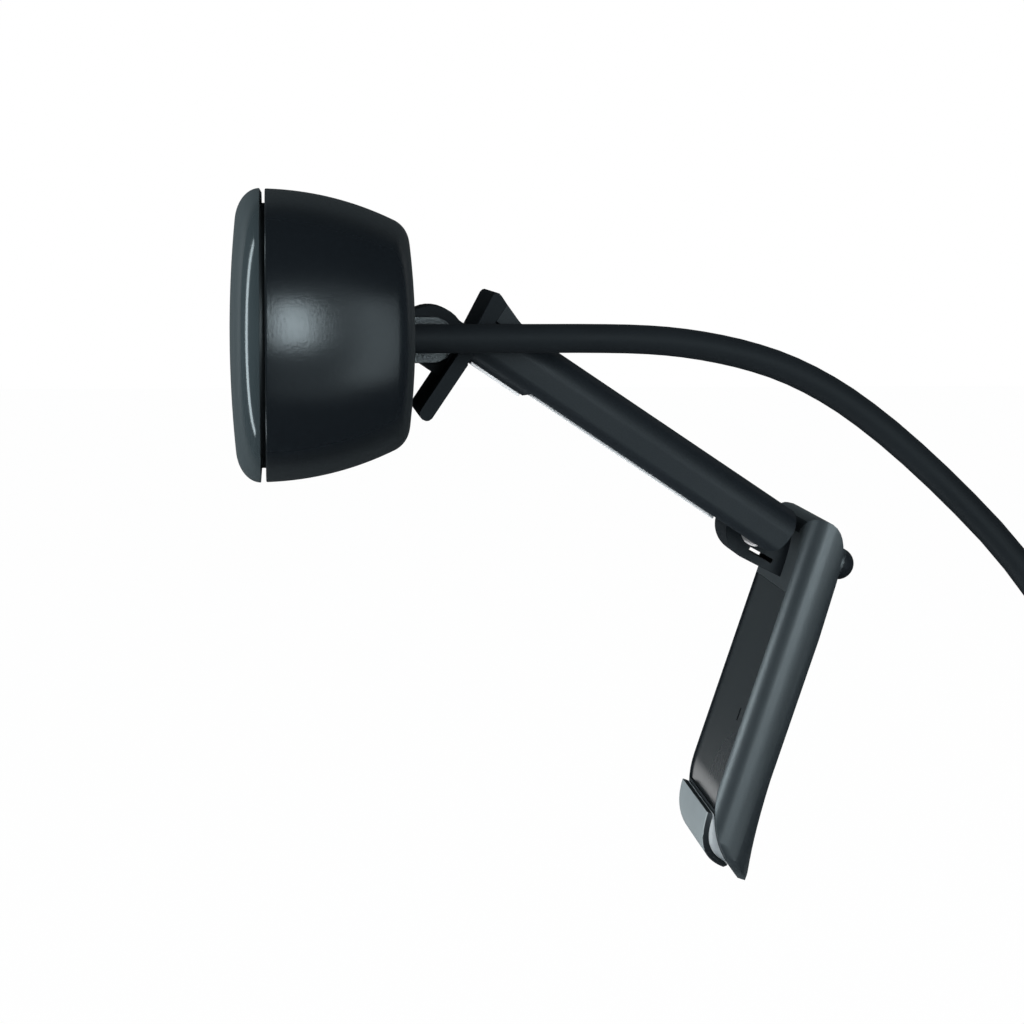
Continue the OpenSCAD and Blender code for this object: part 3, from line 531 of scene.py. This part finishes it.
def graded(tree, value, start, end, low, high):
    """A smooth step of the value, from low at start to high at end."""
    n = tree.nodes.new("ShaderNodeMapRange")
    n.interpolation_type = "SMOOTHSTEP"
    for label, v in (("From Min", start), ("From Max", end), ("To Min", low), ("To Max", high)):
        n.inputs[label].default_value = v
    link(tree, value, n.inputs["Value"])
    return n.outputs[0]


def noise(tree, scale, detail=3.0, rough=0.5):
    """Noise over the object's own metres; scale is a socket or cells per metre."""
    place = tree.nodes.new("ShaderNodeTexCoord")
    n = tree.nodes.new("ShaderNodeTexNoise")
    n.inputs["Detail"].default_value = detail
    n.inputs["Roughness"].default_value = rough
    link(tree, place.outputs["Object"], n.inputs["Vector"])
    if isinstance(scale, (int, float)):
        n.inputs["Scale"].default_value = scale
    else:
        link(tree, scale, n.inputs["Scale"])
    return n.outputs["Fac"]


def make_spark_grain():
    """Fine spark-eroded grain of a moulding: a height and a fleck that follows it."""
    group, start, end = new_group(
        "spark_grain",
        [("Scale", "NodeSocketFloat", 5000.0)],
        [("Height", "NodeSocketFloat"), ("Fleck", "NodeSocketFloat")])
    coarse = noise(group, start.outputs["Scale"], 2.0, 0.6)
    finer = noise(group, math_node(group, "MULTIPLY", start.outputs["Scale"], 2.3), 1.0, 0.5)
    height = math_node(group, "ADD", math_node(group, "MULTIPLY", coarse, 0.65),
                       math_node(group, "MULTIPLY", finer, 0.35))
    link(group, height, end.inputs["Height"])
    fleck = group.nodes.new("ShaderNodeMapRange")
    fleck.inputs["From Min"].default_value = 0.35
    fleck.inputs["From Max"].default_value = 0.68
    link(group, height, fleck.inputs["Value"])
    link(group, fleck.outputs[0], end.inputs["Fleck"])
    return group


def make_handling():
    """Soft clouds of handling: two tones of one colour and a roughness between two values."""
    group, start, end = new_group(
        "handling",
        [("Colour", "NodeSocketColor", (0.02, 0.02, 0.02, 1)),
         ("Worn Colour", "NodeSocketColor", (0.03, 0.03, 0.03, 1)),
         ("Smooth", "NodeSocketFloat", 0.3), ("Rough", "NodeSocketFloat", 0.45),
         ("Scale", "NodeSocketFloat", 60.0)],
        [("Colour", "NodeSocketColor"), ("Roughness", "NodeSocketFloat")])
    cloud = noise(group, start.outputs["Scale"], 4.0, 0.6)
    spread = group.nodes.new("ShaderNodeMapRange")
    spread.inputs["From Min"].default_value = 0.3
    spread.inputs["From Max"].default_value = 0.7
    link(group, cloud, spread.inputs["Value"])
    mix = group.nodes.new("ShaderNodeMix")
    mix.data_type = "RGBA"
    link(group, spread.outputs[0], mix.inputs["Factor"])
    link(group, start.outputs["Colour"], mix.inputs[6])
    link(group, start.outputs["Worn Colour"], mix.inputs[7])
    link(group, mix.outputs[2], end.inputs["Colour"])
    level = group.nodes.new("ShaderNodeMapRange")
    link(group, spread.outputs[0], level.inputs["Value"])
    link(group, start.outputs["Smooth"], level.inputs["To Min"])
    link(group, start.outputs["Rough"], level.inputs["To Max"])
    link(group, level.outputs[0], end.inputs["Roughness"])
    return group


GLANCE_FROM, GLANCE_TO, GLANCE_ROUGH = 0.35, 0.72, 0.95


def make_soft_glance():
    """Blends a roughness toward a dull one as Facing nears 1, which is edge-on."""
    group, start, end = new_group(
        "soft_glance",
        [("Facing", "NodeSocketFloat", 0.0), ("Roughness", "NodeSocketFloat", 0.4)],
        [("Roughness", "NodeSocketFloat")])
    share = graded(group, start.outputs["Facing"], GLANCE_FROM, GLANCE_TO, 0.0, 1.0)
    blend = group.nodes.new("ShaderNodeMix")
    blend.inputs[3].default_value = GLANCE_ROUGH
    link(group, share, blend.inputs[0])
    link(group, start.outputs["Roughness"], blend.inputs[2])
    link(group, blend.outputs[0], end.inputs["Roughness"])
    return group


SPARK_GRAIN = make_spark_grain()
HANDLING = make_handling()
SOFT_GLANCE = make_soft_glance()


def use_group(tree, group, **values):
    n = tree.nodes.new("ShaderNodeGroup")
    n.node_tree = group
    for label, value in values.items():
        n.inputs[label.replace("_", " ")].default_value = value
    return n


def soft_at_glance(tree, rough):
    """Roughness that rises where the skin is seen nearly edge-on, so that lamps don't glare."""
    facing = tree.nodes.new("ShaderNodeLayerWeight")
    facing.inputs["Blend"].default_value = 0.5
    soft = use_group(tree, SOFT_GLANCE)
    link(tree, facing.outputs["Facing"], soft.inputs["Facing"])
    link(tree, rough, soft.inputs["Roughness"])
    return soft.outputs["Roughness"]


def finish(name, colour, worn=None, smooth=0.3, rough=0.42, grain=5000.0, depth=0.0,
           cloud=60.0, specular=0.5, metallic=0.0, transmission=0.0, ior=1.46, fleck=0.0,
           tint=(1, 1, 1), mirror=False):
    """A material with handling clouds and, where depth is above 0, a moulded grain."""
    mat = bpy.data.materials.new(name)
    mat.use_nodes = True
    tree = mat.node_tree
    shader = tree.nodes["Principled BSDF"]
    shader.inputs["Specular IOR Level"].default_value = specular
    shader.inputs["Specular Tint"].default_value = (*tint, 1)
    shader.inputs["IOR"].default_value = ior
    shader.inputs["Metallic"].default_value = metallic
    shader.inputs["Transmission Weight"].default_value = transmission
    worn = worn or tuple(c * 1.25 for c in colour)
    hand = use_group(tree, HANDLING, Colour=(*colour, 1), Worn_Colour=(*worn, 1),
                     Smooth=smooth, Rough=rough, Scale=cloud)
    link(tree, hand.outputs["Colour"], shader.inputs["Base Color"])
    roughness = hand.outputs["Roughness"]
    if not (mirror or metallic > 0 or transmission > 0):
        roughness = soft_at_glance(tree, roughness)
    link(tree, roughness, shader.inputs["Roughness"])
    if depth > 0:
        cells = use_group(tree, SPARK_GRAIN, Scale=grain)
        bump = tree.nodes.new("ShaderNodeBump")
        bump.inputs["Strength"].default_value = 1.0
        bump.inputs["Distance"].default_value = depth
        link(tree, cells.outputs["Height"], bump.inputs["Height"])
        link(tree, bump.outputs["Normal"], shader.inputs["Normal"])
        if fleck > 0:
            lift = tree.nodes.new("ShaderNodeMix")
            lift.data_type = "RGBA"
            lift.inputs[7].default_value = (*[min(1, c * (1 + fleck)) for c in worn], 1)
            link(tree, cells.outputs["Fleck"], lift.inputs["Factor"])
            link(tree, hand.outputs["Colour"], lift.inputs[6])
            link(tree, lift.outputs[2], shader.inputs["Base Color"])
    return mat


BLACK = (0.003, 0.0039, 0.005)
COOL = (0.78, 0.94, 1.0)
FINISHES = {
    "case_plastic": finish("satin_case", BLACK, tint=COOL, smooth=0.22, rough=0.27,
                           depth=2.6e-5, grain=3800, fleck=0.4, cloud=35),
    "clip_plastic": finish("satin_clip", (0.005, 0.0064, 0.008), tint=COOL, smooth=0.42, rough=0.5,
                           specular=0.17, depth=5e-6, grain=6000, fleck=0.5, cloud=50),
    # The foot pad's face: painted light, a mid grey standing in for black rubber lit by the key
    # lamp
    "foot_grey_painted_light": finish("foot_rubber_painted_light", (0.15, 0.172, 0.18), worn=(0.175, 0.2, 0.208), smooth=0.4,
                        rough=0.5, depth=3e-6, grain=4500),
    # The foot seat: pale sides that show beside the pad's rim as a painted highlight
    "seat_grey_painted_highlight": finish("seat_rubber_painted_highlight", (0.55, 0.58, 0.60), worn=(0.6, 0.63, 0.65), smooth=0.4,
                        rough=0.5, depth=2e-6, grain=4500),
    # The lip: a darker, duller copy of the clip plastic, painted shade
    "clip_plastic_painted_shade": finish("satin_clip_painted_shade", (0.004, 0.0052, 0.0065), tint=COOL, smooth=0.45,
                          rough=0.55, specular=0.08, depth=5e-6, grain=6000, fleck=0.5, cloud=50),
    # The leg: a lighter, glossier copy of the clip plastic, painted light
    "clip_plastic_painted_light": finish("satin_clip_painted_light", (0.010, 0.0125, 0.0145), tint=COOL, smooth=0.35, rough=0.41,
                          specular=0.85, depth=5e-6, grain=6000, fleck=0.3, cloud=50),
    "face_gloss": finish("face_lacquer", (0.020, 0.027, 0.030), worn=(0.023, 0.031, 0.034),
                         tint=COOL, smooth=0.10, rough=0.15, cloud=30),
    "panel_gloss": finish("panel_lacquer", (0.006, 0.0075, 0.009), tint=COOL, smooth=0.27,
                          rough=0.29, cloud=30, mirror=True),
    "pad_grey": finish("pad_silicone", (0.62, 0.63, 0.65), worn=(0.68, 0.69, 0.7), smooth=0.4,
                       rough=0.55, depth=2e-6, grain=4000),
    "black_rubber": finish("black_rubber", (0.008, 0.0095, 0.011), tint=COOL, smooth=0.3, rough=0.5,
                           depth=4e-6, grain=3500, fleck=0.3),
    "cord_jacket": finish("lead_jacket", (0.006, 0.0075, 0.009), tint=COOL, smooth=0.54, rough=0.62,
                          depth=2e-6, grain=3000, cloud=80, specular=0.12),
    "trim_metal": finish("plated_trim", (0.30, 0.31, 0.33), smooth=0.16, rough=0.26, metallic=1.0),
    "screw_steel": finish("screw_steel", (0.42, 0.42, 0.43), smooth=0.28, rough=0.42, metallic=1.0),
    "clear_window": finish("smoked_window", (0.05, 0.05, 0.06), smooth=0.02, rough=0.05,
                           transmission=0.85, ior=1.49),
    "lens_glass": finish("coated_lens", (0.55, 0.6, 0.85), smooth=0.01, rough=0.03,
                         transmission=0.9, ior=1.52),
    "board_green": finish("solder_mask", (0.012, 0.08, 0.035), smooth=0.25, rough=0.35),
    "board_tan": finish("ceramic_parts", (0.3, 0.22, 0.14), smooth=0.4, rough=0.55),
    "chip_black": finish("chip_resin", (0.02, 0.02, 0.022), smooth=0.4, rough=0.5, depth=2e-6),
    "socket_cream": finish("socket_nylon", (0.6, 0.58, 0.52), smooth=0.35, rough=0.5),
    "wire_red": finish("wire_sleeve", (0.35, 0.03, 0.025), smooth=0.35, rough=0.45),
    "contact_gold": finish("gold_plate", (0.83, 0.6, 0.25), smooth=0.18, rough=0.3, metallic=1.0),
}


def dress(obj, mat):
    obj.data.materials.clear()
    obj.data.materials.append(mat)


for name, obj in nodes.items():
    dress(obj, FINISHES[SLOT_OF[name]])
for piece, node in ((housing, "rear_housing"), (face, "face_plate"), (arm, "arm_shell"),
                    (panel, "leg_panel"), (bracket, "tilt_bracket"), (pads[0], "front_pad"),
                    (pads[1], "rear_pad"), (tie, "cord_tie"), (plug, "plug_body"),
                    (shell, "plug_shell")):
    dress(piece, FINISHES[SLOT_OF[node]])
# The lip and the leg take darker and lighter copies of the clip plastic: painted shade on the lip,
# painted light on the leg
for piece, finish_name in ((lead, "cord_jacket"), (lip, "clip_plastic_painted_shade"), (leg, "clip_plastic_painted_light"),
                           (foot, "foot_grey_painted_light"), (foot_seat_highlight, "seat_grey_painted_highlight")):
    dress(piece, FINISHES[finish_name])

# The leg's knuckle and finger bead keep the arm's darker clip finish, outside the leg's painted
# light
ALONG_U = Vector(leg_point(1, 0, 0)) - Vector(leg_point(0, 0, 0))
ALONG_W = Vector(leg_point(0, 0, 1)) - Vector(leg_point(0, 0, 0))
BEAD_FROM, BEAD_MIDDLE = LEG_IN + 5.4, -0.35
KNUCKLE_HALF, KNUCKLE_LOW = 5.1, -7


def second_finish(piece, finish_name, chosen):
    """Gives the faces that are chosen another finish than the rest of the piece."""
    piece.data.materials.append(FINISHES[finish_name])
    for poly in piece.data.polygons:
        if chosen(poly):
            poly.material_index = 1


def on_knuckle_or_bead(poly):
    place = (poly.center - Vector(leg_point(0, 0, 0)) * MM) / MM
    u, w = place.dot(ALONG_U), place.dot(ALONG_W)
    knuckle = u < LEG_IN - 0.1 and abs(place.y) < KNUCKLE_HALF and w > KNUCKLE_LOW
    return knuckle or (u > BEAD_FROM and abs(w - BEAD_MIDDLE) < 2)


def in_panel_slot(poly):
    inside = SLOT_LEFT - 0.05 < poly.center.y / MM < SLOT_RIGHT + 0.05
    return inside and poly.normal.dot(-ALONG_U) < 0.9


second_finish(leg, "clip_plastic", on_knuckle_or_bead)
# The pad's edges keep the black rubber's own colour, darker than the face's painted light, and so
# is the inside of the panel's slot
second_finish(foot, "black_rubber", lambda poly: poly.normal.dot(-ALONG_U) < 0.35)
second_finish(panel, "black_rubber", in_panel_slot)
# Painted seam shadow: the plate's rim faces deep in the seam take the darker black rubber finish
second_finish(face, "black_rubber", lambda poly: poly.center.x > (SEAM_X - SEAM_GAP - 0.01) * MM)

# ------------------------------------------------------------------ stage and light


FLOOR_Z, FLOOR_SIZE, FLOOR_WHITE = -0.135, 6, 0.985
WALL_LEVEL, CEILING_LEVEL, SOFT_LEVEL = 0.09, 0.03, 0.6
SKY_TONE = (0.78, 0.93, 1.0, 1)
# Each lamp's name, azimuth, elevation, distance, width, height and level
LAMPS = [("left_strip", -78, -1, 0.52, 0.12, 2.4, 12),
         ("front_box", 13.5, 10.5, 1.1, 0.18, 0.62, 19),
         ("right_box", 50, -3, 1.1, 0.42, 1.4, 1.7),
         ("broad_fill", 26, -3, 1.1, 0.9, 2.2, 0.5),
         ("rear_right", 142, 6, 1.1, 0.42, 0.9, 1.1),
         ("rear_left", -132, 12, 1.1, 0.42, 0.8, 0.8),
         ("back_card", 190, -15.0, 2.0, 0.34, 0.66, 1.1)]


def ray_kinds(tree):
    """Masks for camera rays with rays through glass, and for mirror rays."""
    path = tree.nodes.new("ShaderNodeLightPath")
    seen = math_node(tree, "MAXIMUM", path.outputs["Is Camera Ray"],
                     path.outputs["Is Transmission Ray"])
    return seen, path.outputs["Is Glossy Ray"]


def axis_value(tree, space, axis):
    place = tree.nodes.new("ShaderNodeTexCoord")
    split = tree.nodes.new("ShaderNodeSeparateXYZ")
    link(tree, place.outputs[space], split.inputs[0])
    return split.outputs[axis]


def add_floor():
    """A white table, which mirror rays and the lamps' light pass through."""
    bpy.ops.mesh.primitive_plane_add(size=FLOOR_SIZE, location=(0, 0, FLOOR_Z))
    floor = bpy.context.object
    floor.name = "floor"
    mat = bpy.data.materials.new("pale_floor")
    mat.use_nodes = True
    tree = mat.node_tree
    tree.nodes.clear()
    out = tree.nodes.new("ShaderNodeOutputMaterial")
    matt = tree.nodes.new("ShaderNodeBsdfDiffuse")
    matt.inputs["Color"].default_value = (0.7, 0.7, 0.7, 1)
    white = tree.nodes.new("ShaderNodeEmission")
    clear = tree.nodes.new("ShaderNodeBsdfTransparent")
    seen, gloss = ray_kinds(tree)
    path = tree.nodes.new("ShaderNodeLightPath")
    top = tree.nodes.new("ShaderNodeMixShader")
    link(tree, math_node(tree, "MULTIPLY", seen, FLOOR_WHITE), top.inputs[0])
    link(tree, matt.outputs[0], top.inputs[1])
    link(tree, white.outputs[0], top.inputs[2])
    through = tree.nodes.new("ShaderNodeMixShader")
    link(tree, math_node(tree, "MAXIMUM", gloss, path.outputs["Is Shadow Ray"]), through.inputs[0])
    link(tree, top.outputs[0], through.inputs[1])
    link(tree, clear.outputs[0], through.inputs[2])
    link(tree, through.outputs[0], out.inputs[0])
    dress(floor, mat)


def add_world():
    """White behind the object, and a dim studio for mirror rays and for soft light."""
    world = bpy.data.worlds.new("studio")
    bpy.context.scene.world = world
    world.use_nodes = True
    tree = world.node_tree
    tree.nodes.clear()
    out = tree.nodes.new("ShaderNodeOutputWorld")
    sky = tree.nodes.new("ShaderNodeBackground")
    seen, gloss = ray_kinds(tree)
    tone = tree.nodes.new("ShaderNodeMix")
    tone.data_type = "RGBA"
    tone.inputs[6].default_value = SKY_TONE
    tone.inputs[7].default_value = (1, 1, 1, 1)
    link(tree, seen, tone.inputs["Factor"])
    link(tree, tone.outputs[2], sky.inputs["Color"])
    height = math_node(tree, "ABSOLUTE", axis_value(tree, "Generated", "Z"))
    walls = graded(tree, height, 0.0, 0.6, WALL_LEVEL, CEILING_LEVEL)
    mirror = math_node(tree, "MULTIPLY", gloss, walls)
    other = math_node(tree, "SUBTRACT", 1.0, math_node(tree, "MAXIMUM", seen, gloss))
    soft = math_node(tree, "MULTIPLY", other, SOFT_LEVEL)
    link(tree, math_node(tree, "ADD", seen, math_node(tree, "ADD", mirror, soft)),
         sky.inputs["Strength"])
    link(tree, sky.outputs[0], out.inputs[0])


def add_lamp(name, azimuth, elevation, distance, width, height, level):
    """A soft box seen from the head at these angles; level is its brightness against white."""
    a, e = math.radians(azimuth), math.radians(elevation)
    head = Vector((SEAM_X, -HEAD_W / 2, HEAD_Z)) * MM
    away = Vector((math.sin(a) * math.cos(e), -math.cos(a) * math.cos(e), math.sin(e)))
    data = bpy.data.lights.new(name, "AREA")
    data.shape = "RECTANGLE"
    data.size, data.size_y = width, height
    data.energy = level * math.pi * width * height
    lamp = bpy.data.objects.new(name, data)
    bpy.context.scene.collection.objects.link(lamp)
    lamp.location = head + away * distance
    lamp.rotation_euler = away.to_track_quat("Z", "Y").to_euler()
    lamp.visible_camera = False


add_floor()
add_world()
for lamp_values in LAMPS:
    add_lamp(*lamp_values)
